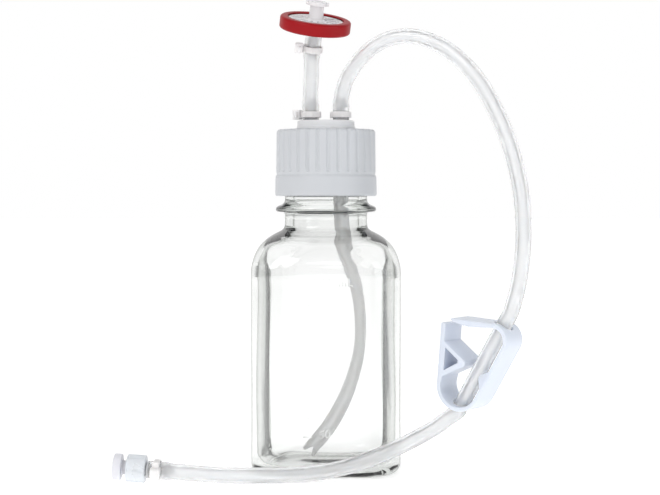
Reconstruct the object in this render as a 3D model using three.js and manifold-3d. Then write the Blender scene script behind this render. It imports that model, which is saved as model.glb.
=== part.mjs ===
// Square glass bottle with a two-port screw closure, a vent filter, a dip tube and a hose with a pinch clamp.
// Millimetres, +Z up, origin on the table under the bottle's axis, graduations facing -Y.
import * as THREE from 'three';
import { mergeVertices } from 'three/addons/utils/BufferGeometryUtils.js';
import Module from 'manifold-3d';

const wasm = await Module();
wasm.setup();

// Bottle
const BODY_HALF = 31;
const BODY_CORNER = 13;
const WALL = 1.5;
const BASE_FILLET = 4.5;
const BASE_THICKNESS = 2.4;
const PUNT_HEIGHT = 0.9;
const SHOULDER_START = 83.5;
const CAVITY_POWER = 4;
const NECK_RADIUS = 17.5;
const NECK_BORE = 13.9;
const RIM_HEIGHT = 137.2;
const THREAD_RADIUS = 18.75;
const THREAD_PITCH = 4.233;
const THREAD_START = 125.6;
const THREAD_TURNS = 1.5;
const BOTTLE_SIDES = 40;
// Screw collar
const COLLAR_BOTTOM = 115.5;
const COLLAR_TOP = 143.4;
const COLLAR_LEDGE = 124.2;
const COLLAR_BORE = 19.1;
const COLLAR_OPENING = 12.9;
const COLLAR_RIBS = 30;
// Ports
const PORT_OFFSET = 6.35;
const INSERT_BOTTOM = 134;
const BOSS_TOP = 147.3;
const PORT_TOP = 156.3;
const PORT_FOOT = 125;
// Silicone tubing, quarter inch outside
const TUBE_RADIUS = 3.175;
const TUBE_BORE = 1.6;
const SLEEVE_RADIUS = 3.45;
const BARB_RADIUS = 2;
const GAP = 0.3;
// Vent filter, placed by the centre of its ring
const FILTER_CENTRE = new THREE.Vector3(-4.5, -6.2, 187.2);
const FILTER_AXIS = new THREE.Vector3(0.12, -0.287, 1).normalize();
const RING_RADIUS = 14.9;
const RING_HALF = 2.7;
const DISC_RADIUS = 12.1;
// Pinch clamp, placed by the point of the hose axis level with the middle of its loop
const CLAMP_ORIGIN = new THREE.Vector3(58.2, -37.1, 38.4);
const CLAMP_TURN = THREE.MathUtils.degToRad(34);
const CLAMP_LEAN = THREE.MathUtils.degToRad(30.2);
const CLAMP_WIDTH = 14;
const PINCH_FROM = 3;
const PINCH_TO = 14;
// Luer end, placed by the hose side of the lock collar
const LUER_ORIGIN = new THREE.Vector3(-72.3, -38, 5.7);
const LUER_AXIS = new THREE.Vector3(-1, 0.04, 0.0787).normalize();

const white = { color: 0xe9ebee, roughness: 0.45, metalness: 0 };
const clear = { color: 0xdfe6e8, roughness: 0.1, metalness: 0 };
const silicone = { color: 0xe6e4e2, roughness: 0.3, metalness: 0 };
const natural = { color: 0xdcdfe2, roughness: 0.35, metalness: 0 };
const bluish = { color: 0xcfdcea, roughness: 0.35, metalness: 0 };
const red = { color: 0xc4121f, roughness: 0.25, metalness: 0 };

const group = new THREE.Group();
group.name = 'wash_bottle';

function solid(geometry) {
  const bare = geometry.clone();
  bare.deleteAttribute('normal');
  bare.deleteAttribute('uv');
  const merged = mergeVertices(bare, 1e-4);
  const mesh = new wasm.Mesh({
    numProp: 3,
    vertProperties: new Float32Array(merged.attributes.position.array),
    triVerts: new Uint32Array(merged.index.array),
  });
  return new wasm.Manifold(mesh);
}

function geometryOf(body) {
  const mesh = body.getMesh();
  const geometry = new THREE.BufferGeometry();
  geometry.setAttribute('position', new THREE.BufferAttribute(mesh.vertProperties, 3));
  geometry.setIndex(new THREE.BufferAttribute(mesh.triVerts, 1));
  return geometry;
}

function add(name, body, look) {
  const geometry = geometryOf(body).toNonIndexed();
  geometry.computeVertexNormals();
  const mesh = new THREE.Mesh(geometry, new THREE.MeshStandardMaterial(look));
  mesh.name = name;
  group.add(mesh);
}

// A matrix that carries local x, y and z onto the given directions at the given place.
function frame(origin, x, y, z) {
  return new THREE.Matrix4().makeBasis(x, y, z).setPosition(origin);
}

// A frame whose z runs along the axis and whose x is as near as it can be to the side direction.
function axisFrame(origin, axis, side = new THREE.Vector3(1, 0, 0)) {
  const z = axis.clone().normalize();
  const y = new THREE.Vector3().crossVectors(z, side).normalize();
  const x = new THREE.Vector3().crossVectors(y, z);
  return frame(origin, x, y, z);
}

function moved(geometry, matrix) {
  return geometry.applyMatrix4(matrix);
}

// A solid of revolution about z from [radius, height] corners listed counter-clockwise.
function turned(corners, sides = 32, matrix = new THREE.Matrix4()) {
  const onAxis = corners[0][0] === 0 && corners[corners.length - 1][0] === 0;
  const loop = onAxis ? corners : [...corners, corners[0]];
  const points = loop.map(([r, h]) => new THREE.Vector2(r, h));
  const geometry = new THREE.LatheGeometry(points, sides).rotateX(Math.PI / 2);
  return solid(moved(geometry, matrix));
}

function pipe(inner, outer, from, to, sides = 32, matrix = new THREE.Matrix4()) {
  const corners = [[inner, from], [outer, from], [outer, to], [inner, to]];
  return turned(corners, sides, matrix);
}

function rod(radius, from, to, sides = 24, matrix = new THREE.Matrix4()) {
  return turned([[0, from], [radius, from], [radius, to], [0, to]], sides, matrix);
}

function block(width, depth, height, centre, matrix = new THREE.Matrix4()) {
  const geometry = new THREE.BoxGeometry(width, depth, height).translate(...centre);
  return solid(moved(geometry, matrix));
}

// A closed skin over rings of equal point count. A ring of one point is an end.
function skin(rings) {
  const positions = [];
  const index = [];
  const starts = [];
  for (const ring of rings) {
    starts.push(positions.length / 3);
    for (const p of ring) {
      positions.push(p.x, p.y, p.z);
    }
  }
  for (let i = 0; i + 1 < rings.length; i += 1) {
    const count = Math.max(rings[i].length, rings[i + 1].length);
    for (let j = 0; j < count; j += 1) {
      const a = starts[i] + (rings[i].length === 1 ? 0 : j);
      const b = starts[i] + (rings[i].length === 1 ? 0 : (j + 1) % count);
      const c = starts[i + 1] + (rings[i + 1].length === 1 ? 0 : (j + 1) % count);
      const d = starts[i + 1] + (rings[i + 1].length === 1 ? 0 : j);
      if (a !== b) {
        index.push(a, b, c);
      }
      if (c !== d) {
        index.push(a, c, d);
      }
    }
  }
  const geometry = new THREE.BufferGeometry();
  geometry.setAttribute('position', new THREE.Float32BufferAttribute(positions, 3));
  geometry.setIndex(index);
  return solid(geometry);
}

function centroid(ring) {
  const middle = new THREE.Vector3();
  ring.forEach((p) => middle.add(p));
  return middle.divideScalar(ring.length);
}

// A bar lofted over rings, closed at both ends.
function bar(rings) {
  return skin([[centroid(rings[0])], ...rings, [centroid(rings[rings.length - 1])]]);
}

function radiusOfSquare(angle, half, corner) {
  const quarter = Math.PI / 2;
  const fold = Math.abs(angle - quarter * Math.round(angle / quarter));
  const side = half / Math.cos(fold);
  const centre = half - corner;
  if (side * Math.sin(fold) <= centre) {
    return side;
  }
  const along = centre * (Math.cos(fold) + Math.sin(fold));
  const across = centre * (Math.cos(fold) - Math.sin(fold));
  return along + Math.sqrt(Math.max(corner * corner - across * across, 0));
}

function ringOf(height, radiusAt) {
  return Array.from({ length: BOTTLE_SIDES }, (_, i) => {
    const angle = (i / BOTTLE_SIDES) * 2 * Math.PI;
    const radius = radiusAt(angle);
    return new THREE.Vector3(radius * Math.cos(angle), radius * Math.sin(angle), height);
  });
}

// The bottle's outside at one height: a square with rounded corners.
function outsideRing([height, half, corner]) {
  return ringOf(height, (angle) => radiusOfSquare(angle, half, Math.min(corner, half)));
}

// The cavity at one height: round at power 2, and closer to a square as the power rises.
function cavityRing([height, half, power]) {
  return ringOf(height, (angle) => {
    const across = Math.abs(Math.cos(angle)) ** power;
    const deep = Math.abs(Math.sin(angle)) ** power;
    return half / (across + deep) ** (1 / power);
  });
}

// A helical ridge of a [radius, height] section listed clockwise, tapering to nothing at both ends.
function ridge(section, root, start, turns, stepsPerTurn = 20) {
  const steps = Math.round(turns * stepsPerTurn);
  const rings = [];
  for (let i = 0; i <= steps; i += 1) {
    const angle = (i / stepsPerTurn) * 2 * Math.PI;
    const rise = start + (THREAD_PITCH * i) / stepsPerTurn;
    const fade = Math.min(1, (i + 0.5) / 3, (steps - i + 0.5) / 3);
    rings.push(section.map(([r, h]) => {
      const radius = root + (r - root) * fade;
      return new THREE.Vector3(radius * Math.cos(angle), radius * Math.sin(angle), rise + h * fade);
    }));
  }
  return bar(rings);
}

function bottle() {
  const outer = [[0.8, 12, 6], [0.4, 21, 9.5], [0, 25, 11]];
  for (let i = 0; i <= 4; i += 1) {
    const angle = (i / 4) * (Math.PI / 2);
    const half = BODY_HALF - BASE_FILLET + BASE_FILLET * Math.sin(angle);
    outer.push([BASE_FILLET * (1 - Math.cos(angle)), half, BODY_CORNER - 1 + Math.sin(angle)]);
  }
  outer.push([SHOULDER_START, BODY_HALF, BODY_CORNER], [86, 30.9, 13.5], [89, 30.3, 15.5]);
  outer.push([91.8, 29.4, 18], [94.4, 28, 20.5], [96.5, 26.2, 21.5], [98.6, 23.5, 21.8]);
  outer.push([100.2, 20.7, 20.7], [101.2, 18.6, 18.6], [102.2, 17.7, 17.7]);
  outer.push([103.5, NECK_RADIUS, 30], [108.6, NECK_RADIUS, 30], [108.9, 20.9, 30]);
  outer.push([109.2, 21.2, 30], [110.6, 21.2, 30], [111.1, 20.5, 30], [112.9, NECK_RADIUS, 30]);
  outer.push([RIM_HEIGHT - 1.2, NECK_RADIUS, 30], [RIM_HEIGHT - 0.3, 17.1, 30]);
  outer.push([RIM_HEIGHT, 16.3, 30]);
  const inner = [[RIM_HEIGHT, 15, 2], [RIM_HEIGHT - 0.4, 14.2, 2], [RIM_HEIGHT - 1.2, NECK_BORE, 2]];
  inner.push([104.5, NECK_BORE, 2], [102, 14.3, 2], [100.2, 15.9, 2], [98.7, 18.6, 2.1]);
  inner.push([97, 22, 2.3], [94.6, 25.4, 2.7], [91.5, 27.6, 3.2], [88, 28.9, 3.7]);
  inner.push([SHOULDER_START, BODY_HALF - WALL, CAVITY_POWER], [8, BODY_HALF - WALL, CAVITY_POWER]);
  inner.push([5, 28.6, 3.9], [3.5, 26.8, 3.7], [2.6, 23, 3.3], [BASE_THICKNESS, 14, 2.6]);
  const rings = [[new THREE.Vector3(0, 0, PUNT_HEIGHT)], ...outer.map(outsideRing)];
  rings.push(...inner.map(cavityRing), [new THREE.Vector3(0, 0, BASE_THICKNESS + PUNT_HEIGHT)]);
  let body = skin(rings);
  const root = NECK_RADIUS - 0.4;
  const section = [[root, 1.1], [THREAD_RADIUS, 0.35], [THREAD_RADIUS, -0.35], [root, -1.1]];
  body = body.add(ridge(section, root, THREAD_START, THREAD_TURNS));
  return body.add(graduations());
}

// Ticks moulded on the front panel, long at each 50 mL and short between.
function graduations() {
  let ticks = null;
  const heights = [17.5, 25, 32.4, 39.9, 47.8, 54.9, 63.6, 71.5, 79.3];
  heights.forEach((height, i) => {
    const width = i % 2 === 0 ? 3.8 : 2;
    const tick = block(width, 0.5, 0.55, [-5.6 - width / 2, -BODY_HALF + 0.1, height]);
    ticks = ticks ? ticks.add(tick) : tick;
  });
  return ticks;
}

// One ring of the collar's outside, with shallow gaps between its ribs.
function ribbedRing(height, radius, depth) {
  const ring = [];
  const steps = COLLAR_RIBS * 3;
  for (let i = 0; i < steps; i += 1) {
    const angle = ((i + 0.5) / steps) * 2 * Math.PI;
    const r = radius - (i % 3 === 0 ? depth : 0);
    ring.push(new THREE.Vector3(r * Math.cos(angle), r * Math.sin(angle), height));
  }
  return ring;
}

function screwCollar() {
  const centre = new THREE.Vector3(0, 0, COLLAR_BOTTOM);
  const rows = [[COLLAR_BOTTOM, 21.1, 0], [COLLAR_BOTTOM + 0.6, 21.5, 0], [COLLAR_LEDGE - 0.5, 21.3, 0]];
  rows.push([COLLAR_LEDGE, 20.95, 0], [COLLAR_LEDGE + 1.4, 21.0, 0.1], [COLLAR_LEDGE + 2.4, 21.0, 0.5]);
  rows.push([COLLAR_TOP - 0.8, 20.85, 0.5], [COLLAR_TOP, 20.2, 0.3]);
  const rings = [[centre], ...rows.map(([z, r, depth]) => ribbedRing(z, r, depth))];
  rings.push([new THREE.Vector3(0, 0, COLLAR_TOP)]);
  let body = skin(rings);
  body = body.subtract(rod(COLLAR_BORE, COLLAR_BOTTOM - 1, COLLAR_TOP - 1.8, 40));
  body = body.subtract(rod(COLLAR_OPENING, COLLAR_BOTTOM, COLLAR_TOP + 1, 32));
  const root = COLLAR_BORE + 0.4;
  const tip = 17.95;
  const section = [[root, -1], [tip, -0.3], [tip, 0.3], [root, 1]];
  return body.add(ridge(section, root, THREAD_START + THREAD_PITCH / 2 - 0.2, 1.2));
}

// A hose barb from one height to another, its sharp edge near the far end.
function barb(from, to, matrix = new THREE.Matrix4()) {
  const way = Math.sign(to - from);
  const shape = [[0, from], [1.65, from], [1.65, to - 3 * way], [BARB_RADIUS, to - 3 * way]];
  shape.push([1.5, to - 0.2 * way], [1.5, to], [0, to]);
  return turned(way > 0 ? shape : shape.reverse(), 12, matrix);
}

function portInsert() {
  const shape = [[0, INSERT_BOTTOM], [12.6, INSERT_BOTTOM], [13.2, 134.6], [13.2, 139], [17, 139], [17, 141.2]];
  shape.push([12.4, 141.2], [12.4, BOSS_TOP - 0.5], [12, BOSS_TOP], [0, BOSS_TOP]);
  let body = turned(shape, 36);
  for (const x of [-PORT_OFFSET, PORT_OFFSET]) {
    const port = new THREE.Matrix4().makeTranslation(x, 0, 0);
    body = body.add(barb(BOSS_TOP - 1, PORT_TOP, port)).add(barb(135, PORT_FOOT, port));
    body = body.subtract(rod(1, PORT_FOOT - 1, PORT_TOP + 1, 12, port));
  }
  return body;
}

function circleShape(radius, bore, sides) {
  const ring = (r, count) => Array.from({ length: count }, (_, i) => {
    const angle = (i / count) * 2 * Math.PI;
    return new THREE.Vector2(r * Math.cos(angle), r * Math.sin(angle));
  });
  const shape = new THREE.Shape(ring(radius, sides));
  shape.holes.push(new THREE.Path(ring(bore, 8).reverse()));
  return shape;
}

function tube(points, steps, sides = 10) {
  const path = new THREE.CatmullRomCurve3(points.map((p) => new THREE.Vector3(...p)));
  const shape = circleShape(TUBE_RADIUS, TUBE_BORE, sides);
  const options = { steps, bevelEnabled: false, extrudePath: path };
  return solid(new THREE.ExtrudeGeometry(shape, options));
}

// Widens one end of a tube where it is stretched over a barb. The frame's z runs into the tube.
function stretched(body, matrix, depth = 9.3) {
  const sleeve = rod(SLEEVE_RADIUS, 0.2, depth - 0.8, 14, matrix);
  return body.add(sleeve).subtract(rod(BARB_RADIUS + GAP, -1, depth, 12, matrix));
}

// A cable tie: a band around z with its head out along x.
function cableTie(matrix, width = 2.6) {
  const inner = SLEEVE_RADIUS + GAP;
  let body = pipe(inner, inner + 0.65, -width / 2, width / 2, 20, matrix);
  body = body.add(block(3.4, 4.4, width + 1.6, [inner + 1.9, 0.9, 0], matrix));
  return body.add(block(1.1, 3.4, width, [inner + 1.6, 4.2, 0], matrix));
}

const clampSide = new THREE.Vector3(Math.cos(CLAMP_TURN), -Math.sin(CLAMP_TURN), 0);
const clampUp = new THREE.Vector3(0, 0, 1);
const clampAlong = clampSide.clone().multiplyScalar(Math.sin(CLAMP_LEAN))
  .addScaledVector(clampUp, Math.cos(CLAMP_LEAN));
const clampOut = clampSide.clone().multiplyScalar(-Math.cos(CLAMP_LEAN))
  .addScaledVector(clampUp, Math.sin(CLAMP_LEAN));
const clampNear = new THREE.Vector3().crossVectors(clampAlong, clampOut);
const clampFrame = frame(CLAMP_ORIGIN, clampAlong, clampOut, clampNear);

function onClampAxis(distance) {
  return CLAMP_ORIGIN.clone().addScaledVector(clampAlong, distance).toArray();
}

function dispensingTubeUpper() {
  const points = [[PORT_OFFSET, 0, BOSS_TOP + GAP], [PORT_OFFSET, 0, 152.5], [6.6, 0, 157.2]];
  points.push([8.2, -0.8, 163.5], [11.8, -2.3, 169.8], [17.6, -4, 176.3], [24.6, -6.2, 180.5]);
  points.push([32.5, -8.8, 182.1], [41, -12.4, 180.6], [49, -16.8, 176.5], [56.4, -21.5, 169.9]);
  points.push([62.7, -26.2, 161.7], [68, -31.3, 151.5], [72.3, -36.3, 140.5], [75.6, -41, 128]);
  points.push([77.6, -45, 115], [78.1, -47.4, 102], [77.4, -48.5, 90], [75.7, -48.4, 79]);
  points.push(onClampAxis(36), onClampAxis(30), onClampAxis(22), onClampAxis(PINCH_TO + GAP));
  const foot = new THREE.Vector3(PORT_OFFSET, 0, BOSS_TOP + GAP);
  return stretched(tube(points, 32), axisFrame(foot, new THREE.Vector3(0, 0, 1)));
}

function dispensingTubeLower() {
  const points = [onClampAxis(PINCH_FROM - GAP), onClampAxis(-4), onClampAxis(-11)];
  points.push([49.2, -32.6, 25.4], [44.4, -33.2, 21.9], [38, -34.5, 18.5], [29.9, -36, 14.6]);
  points.push([19.8, -37.4, 10.4], [9.7, -38.3, 7], [-2.3, -39, 4.6], [-14, -39.3, 3.6]);
  points.push([-30, -39.5, 3.4], [-42, -39.4, 3.5]);
  const end = LUER_ORIGIN.clone().addScaledVector(LUER_AXIS, -1.2);
  for (const back of [21, 10, 0]) {
    points.push(end.clone().addScaledVector(LUER_AXIS, -back).toArray());
  }
  const into = LUER_AXIS.clone().negate();
  return stretched(tube(points, 22), axisFrame(end, into), 10.8);
}

function dipTube() {
  const top = new THREE.Vector3(PORT_OFFSET, 0, INSERT_BOTTOM - GAP);
  const tip = new THREE.Vector3(-7.6, 0, 6.6);
  const points = [top.toArray(), [PORT_OFFSET, 0, 124], [PORT_OFFSET, 0, 114], [6.6, 0, 106]];
  points.push([7.2, 0, 100], [8.3, 0, 94], [10.2, 0, 88], [12.3, 0, 82.5], [14, 0, 77], [15.3, 0, 71]);
  points.push([16.1, 0, 65], [16.4, 0, 59], [16.1, 0, 53], [15, 0, 47], [13.1, 0, 41], [10.8, 0, 35]);
  points.push([8.1, 0, 29], [5.1, 0, 23.5], [1.7, 0, 18], [-2, 0, 13.3], [-5.2, 0, 9.8], tip.toArray());
  const body = stretched(tube(points, 28), axisFrame(top, new THREE.Vector3(0, 0, -1)), 9);
  const notch = new THREE.Shape([
    new THREE.Vector2(-2.4, 1),
    new THREE.Vector2(0, -4),
    new THREE.Vector2(2.4, 1),
  ]);
  const cutter = new THREE.ExtrudeGeometry(notch, { depth: 10, bevelEnabled: false });
  cutter.translate(0, 0, -5).rotateX(Math.PI / 2);
  const tipFrame = axisFrame(tip, new THREE.Vector3(-0.62, 0, -0.78));
  return body.subtract(solid(moved(cutter, tipFrame)));
}

const filterFrame = axisFrame(FILTER_CENTRE, FILTER_AXIS);

function ventTube() {
  const top = FILTER_CENTRE.clone().addScaledVector(FILTER_AXIS, -3.2);
  const points = [[-PORT_OFFSET, 0, BOSS_TOP + GAP], [-6.5, 0, 155.5], [-6.4, -0.5, 161.5], [-6.1, -1.6, 168]];
  points.push(FILTER_CENTRE.clone().addScaledVector(FILTER_AXIS, -13).toArray(), top.toArray());
  const foot = new THREE.Vector3(-PORT_OFFSET, 0, BOSS_TOP + GAP);
  let body = stretched(tube(points, 10), axisFrame(foot, new THREE.Vector3(0, 0, 1)));
  body = stretched(body, axisFrame(top, FILTER_AXIS.clone().negate()), 11.6);
  return body;
}

// The lower half of the filter: a shallow dish with the hose barb under it.
function filterOutlet() {
  const disc = [[0, -1.7], [DISC_RADIUS, -1.7], [DISC_RADIUS, -0.3], [0, -0.3]];
  let body = turned(disc, 32, filterFrame);
  body = body.add(rod(3, -2.9, -1, 16, filterFrame));
  body = body.add(barb(-1, -14.5, filterFrame));
  return body.subtract(rod(1, -15, 0, 12, filterFrame));
}

// The upper half of the filter: a shallow dish with a female luer inlet on it.
function filterInlet() {
  const shape = [[0, 0.3], [DISC_RADIUS, 0.3], [DISC_RADIUS, 1.7], [4, 1.7], [3, 2.6], [2.9, 7.8]];
  shape.push([4, 8.1], [4, 9.6], [0, 9.6]);
  let body = turned(shape, 32, filterFrame);
  body = body.add(block(9.6, 3.2, 1.4, [0, 0, 8.8], filterFrame));
  const bore = [[0, -1], [1, -1], [1, 2.2], [1.9, 2.2], [2.15, 11], [0, 11]];
  return body.subtract(turned(bore, 16, filterFrame));
}

function filterRing() {
  const shape = [[11.8, -RING_HALF], [RING_RADIUS - 0.7, -RING_HALF], [RING_RADIUS, -RING_HALF + 0.7]];
  shape.push([RING_RADIUS, RING_HALF - 0.7], [RING_RADIUS - 0.7, RING_HALF], [11.8, RING_HALF]);
  shape.push([11.8, 2.05], [DISC_RADIUS + GAP, 2.05], [DISC_RADIUS + GAP, -2.05], [11.8, -2.05]);
  return turned(shape, 36, filterFrame);
}

function arc(x, y, radius, from, to, count) {
  return Array.from({ length: count + 1 }, (_, i) => {
    const angle = THREE.MathUtils.degToRad(from + ((to - from) * i) / count);
    return [x + radius * Math.cos(angle), y + radius * Math.sin(angle)];
  });
}

// A slab of the clamp from its side view, [along the hose, out from it], with the hose's way cut through.
function clampSlab(outline, holes = []) {
  const shape = new THREE.Shape(outline.map(([x, y]) => new THREE.Vector2(x, y)));
  for (const hole of holes) {
    shape.holes.push(new THREE.Path(hole.map(([x, y]) => new THREE.Vector2(x, y))));
  }
  const slab = new THREE.ExtrudeGeometry(shape, { depth: CLAMP_WIDTH, bevelEnabled: false });
  slab.translate(0, 0, -CLAMP_WIDTH / 2);
  return solid(moved(slab, clampFrame));
}

const LOOP_CENTRE = 2;
const LOOP_OUTER = 10;
const LOOP_INNER = 8.3;
const ARM_ANGLE = 25.7;

// Loop, base plate with its jaw, and the end wall with the teeth that catch the arm.
function clampBase() {
  const outline = arc(0, LOOP_CENTRE, LOOP_OUTER, 152, 270, 12);
  outline.push(...arc(23.9, -1.1, 6.9, 270, 360 + ARM_ANGLE, 8));
  outline.push([21.95, 18.8], [21.2, 18.7], [21.06, 17.6]);
  for (let i = 0; i < 4; i += 1) {
    const along = i * 1.5;
    outline.push([21 + along * 0.24, 17.2 - along], [21.5 + along * 0.26, 16.4 - along]);
  }
  outline.push([23, 10.6], [26.2, 5]);
  outline.push(...arc(23.9, -1.1, 5.2, ARM_ANGLE, -90, 7));
  outline.push([12.6, -6.3], [9.7, -4], [8.6, -3.6], [7.6, -4], [4.4, -6.3]);
  outline.push(...arc(0, LOOP_CENTRE, LOOP_INNER, 270, 152, 12));
  const slab = clampSlab(outline);
  const way = axisFrame(CLAMP_ORIGIN, clampAlong);
  return slab.subtract(rod(3.95, -14, 0, 20, way)).subtract(rod(3.95, 20, 34, 20, way));
}

// The sprung arm with its hollow jaw.
function clampArm() {
  const outline = arc(0, LOOP_CENTRE, LOOP_OUTER, 149.4, 90 + ARM_ANGLE, 4).reverse();
  const inner = arc(0, LOOP_CENTRE, LOOP_INNER, 149.4, 90 + ARM_ANGLE, 4);
  outline.push(...inner, [-0.6, 10.4], [8.3, 4], [9.4, 3.9], [10.4, 4.7], [12.2, 16.6]);
  outline.push([18.9, 19.8], [18.1, 21.7]);
  const hole = [[2, 11], [10.4, 15], [9.2, 7.6], [8.2, 7]];
  return clampSlab(outline, [hole]);
}

const luerFrame = axisFrame(LUER_ORIGIN, LUER_AXIS, new THREE.Vector3(0, -1, 0));

// Barb, a collar stop on each side of the lock's end wall, and the male cone.
function luerFitting() {
  let body = barb(-1, -11.3, luerFrame);
  const shape = [[0, -1.1], [3.4, -1.1], [3.4, -0.3], [2.4, -0.3], [2.4, 1.8], [3.4, 1.8]];
  shape.push([3.4, 2.5], [2, 2.7], [1.85, 9.4], [0, 9.4]);
  body = body.add(turned(shape, 18, luerFrame));
  return body.subtract(rod(1, -12, 10, 12, luerFrame));
}

function luerLockCollar() {
  const shape = [[2.7, 0], [5.2, 0], [5.6, 0.4], [5.6, 7.4], [5.2, 7.8], [4.2, 7.8], [4.2, 1.5], [2.7, 1.5]];
  let body = turned(shape, 24, luerFrame);
  for (let i = 0; i < 6; i += 1) {
    const spin = new THREE.Matrix4().makeRotationZ((i * Math.PI) / 3).premultiply(luerFrame);
    body = body.subtract(block(1, 2.2, 5.6, [5.75, 0, 4.4], spin));
  }
  return body;
}

function luerCap() {
  const shape = [[0, 3.2], [3.75, 3.2], [3.75, 7.2], [2.85, 7.5], [2.85, 9.8], [5, 9.8]];
  shape.push([5.4, 10.2], [5.4, 12.8], [5, 13.2], [0, 13.2]);
  return turned(shape, 24, luerFrame).subtract(rod(2.3, 2, 10.4, 14, luerFrame));
}

const portTie = (x, side) => axisFrame(new THREE.Vector3(x, 0, BOSS_TOP + 2.5), new THREE.Vector3(0, 0, 1), side);

add('bottle', bottle(), clear);
add('screw_collar', screwCollar(), white);
add('port_insert', portInsert(), natural);
add('sealing_gasket', pipe(14, 17.2, RIM_HEIGHT + GAP, 138.7, 36), white);
add('dip_tube', dipTube(), natural);
add('vent_tube', ventTube(), silicone);
add('vent_port_tie', cableTie(portTie(-PORT_OFFSET, new THREE.Vector3(-1, 0.3, 0))), natural);
add('dispensing_port_tie', cableTie(portTie(PORT_OFFSET, new THREE.Vector3(0.2, 1, 0))), natural);
const tieCentre = FILTER_CENTRE.clone().addScaledVector(FILTER_AXIS, -10.5);
add('filter_tie', cableTie(axisFrame(tieCentre, FILTER_AXIS, new THREE.Vector3(-1, 0, 0))), natural);
add('filter_outlet_housing', filterOutlet(), clear);
add('filter_membrane', rod(11.2, -0.12, 0.12, 24, filterFrame), white);
add('filter_inlet_housing', filterInlet(), clear);
add('filter_ring', filterRing(), red);
add('dispensing_tube_upper', dispensingTubeUpper(), silicone);
const pinchPoints = [PINCH_FROM, (PINCH_FROM + PINCH_TO) / 2, PINCH_TO].map(onClampAxis);
add('dispensing_tube_pinch', tube(pinchPoints, 2), silicone);
add('dispensing_tube_lower', dispensingTubeLower(), silicone);
add('clamp_base', clampBase(), bluish);
add('clamp_arm', clampArm(), bluish);
const outletTie = LUER_ORIGIN.clone().addScaledVector(LUER_AXIS, -4.4);
const outletSide = new THREE.Vector3(0, -0.97, -0.25);
add('outlet_tie', cableTie(axisFrame(outletTie, LUER_AXIS, outletSide)), natural);
add('luer_fitting', luerFitting(), natural);
add('luer_lock_collar', luerLockCollar(), bluish);
add('luer_cap', luerCap(), natural);

export default group;
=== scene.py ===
"""Looks of a square glass bottle with a vented dispensing closure, a hose, a pinch clamp and a luer end.

Shapes are written in millimetres in the row frame and turned into metres when a mesh is made.
"""
import math

import bmesh
import bpy
import numpy as np
from mathutils import Matrix, Vector


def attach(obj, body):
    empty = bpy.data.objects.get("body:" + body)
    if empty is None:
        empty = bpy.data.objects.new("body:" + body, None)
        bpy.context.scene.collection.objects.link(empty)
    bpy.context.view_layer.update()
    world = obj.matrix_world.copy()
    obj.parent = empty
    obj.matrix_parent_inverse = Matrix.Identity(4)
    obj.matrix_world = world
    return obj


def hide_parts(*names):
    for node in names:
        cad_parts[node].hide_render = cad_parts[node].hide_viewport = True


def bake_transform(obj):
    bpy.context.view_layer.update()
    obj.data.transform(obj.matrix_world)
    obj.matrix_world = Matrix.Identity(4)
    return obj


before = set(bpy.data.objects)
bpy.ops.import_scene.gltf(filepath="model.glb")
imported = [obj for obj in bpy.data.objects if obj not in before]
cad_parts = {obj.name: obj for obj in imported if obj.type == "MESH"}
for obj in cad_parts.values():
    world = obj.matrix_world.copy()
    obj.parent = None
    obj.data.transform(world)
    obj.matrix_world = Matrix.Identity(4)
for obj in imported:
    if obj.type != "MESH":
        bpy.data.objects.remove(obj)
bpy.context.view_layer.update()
scene = bpy.context.scene
MM = 0.001

# ---------------------------------------------------------------- camera
camera_data = bpy.data.cameras.new("camera")
camera_data.lens = 90.16
camera_data.sensor_width = 36.0
camera_data.clip_start = 0.05
camera_data.clip_end = 30.0
camera = bpy.data.objects.new("camera", camera_data)
camera.location = (0.0017, -0.7, 0.118)
camera.rotation_euler = (math.radians(90 - 1.992), 0, 0)
scene.collection.objects.link(camera)
scene.camera = camera


# ---------------------------------------------------------------- curves and frames
def unit(v):
    v = np.asarray(v, float)
    return v / np.linalg.norm(v)


def route(points, step):
    """Evenly spaced points on the centripetal curve through the given points."""
    p = np.array(points, float)
    p = np.vstack([2 * p[0] - p[1], p, 2 * p[-1] - p[-2]])
    fine = []
    for i in range(1, len(p) - 2):
        a, b, c, d = p[i - 1 : i + 3]
        gaps = [math.sqrt(max(np.linalg.norm(y - x), 1e-6)) for x, y in ((a, b), (b, c), (c, d))]
        t0, t1, t2, t3 = np.cumsum([0.0] + gaps)
        t = np.linspace(t1, t2, 24, endpoint=False)[:, None]
        a1 = ((t1 - t) * a + (t - t0) * b) / (t1 - t0)
        a2 = ((t2 - t) * b + (t - t1) * c) / (t2 - t1)
        a3 = ((t3 - t) * c + (t - t2) * d) / (t3 - t2)
        b1 = ((t2 - t) * a1 + (t - t0) * a2) / (t2 - t0)
        b2 = ((t3 - t) * a2 + (t - t1) * a3) / (t3 - t1)
        fine.append(((t2 - t) * b1 + (t - t1) * b2) / (t2 - t1))
    fine = np.vstack(fine + [p[-2:-1]])
    along = np.concatenate([[0], np.cumsum(np.linalg.norm(np.diff(fine, axis=0), axis=1))])
    even = np.linspace(0, along[-1], max(2, int(round(along[-1] / step)) + 1))
    return np.stack([np.interp(even, along, fine[:, k]) for k in range(fine.shape[1])], 1)


def axis_frame(origin, axis, side=(1, 0, 0)):
    """A frame whose z runs along the axis and whose x is as near as it can be to the side direction."""
    z = unit(axis)
    y = unit(np.cross(z, side))
    x = np.cross(y, z)
    matrix = np.eye(4)
    matrix[:3, 0], matrix[:3, 1], matrix[:3, 2], matrix[:3, 3] = x, y, z, origin
    return matrix


def placed(matrix, points):
    return np.asarray(points, float) @ matrix[:3, :3].T + matrix[:3, 3]


IDENTITY = np.eye(4)


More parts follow.
